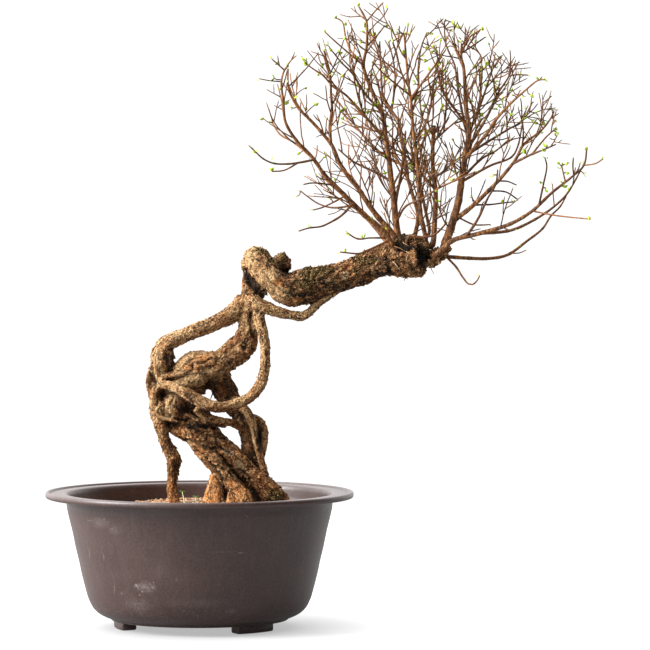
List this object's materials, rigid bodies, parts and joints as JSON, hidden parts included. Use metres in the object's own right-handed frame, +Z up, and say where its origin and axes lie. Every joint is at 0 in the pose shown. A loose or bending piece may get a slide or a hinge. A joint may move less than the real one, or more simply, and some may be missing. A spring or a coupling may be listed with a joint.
{
  "type": "chinese elm bonsai in a round training pot",
  "caption": "Leafy elm bonsai with a bent trunk on exposed tangled roots and a fan of fine shoots, standing in a round wide-lipped training pot filled with granular soil.",
  "frame": {"origin": "bottom centre of the whole object's box, on the surface that the pot's feet stand on", "axes": "+Z up; +X to the side that the limb and its shoots reach over; +Y to the back"},
  "size_m": [0.5566, 0.309, 0.6283],
  "materials": {
    "pot": "worn dark brown moulded plastic, satin, dusty and lightly scuffed",
    "soil": "dry granular bonsai soil, tan, reddish and grey grains",
    "bark": "rough flaking bark, tan to dark brown, with pores, cracks and a little moss",
    "shoots": "thin red-brown bark on young wood, with fresh green buds and opening leaves",
    "seedlings": "tender pale stems with fresh green seed leaves"
  },
  "bodies": {
    "root": {"pot": "pot", "soil": "soil", "trunk_and_roots": "bark", "shoot_left_front": "shoots", "shoot_left_back": "shoots", "shoot_left_middle": "shoots", "shoot_tall": "shoots", "shoot_tall_back": "shoots", "shoot_middle_front": "shoots", "shoot_middle_cut": "shoots", "shoot_right": "shoots", "shoot_right_low": "shoots", "shoot_right_under": "shoots", "shoot_slanting": "shoots", "shoot_crossing": "shoots", "seedling_tall": "seedlings", "seedling_short": "seedlings"}
  },
  "joints": []
}
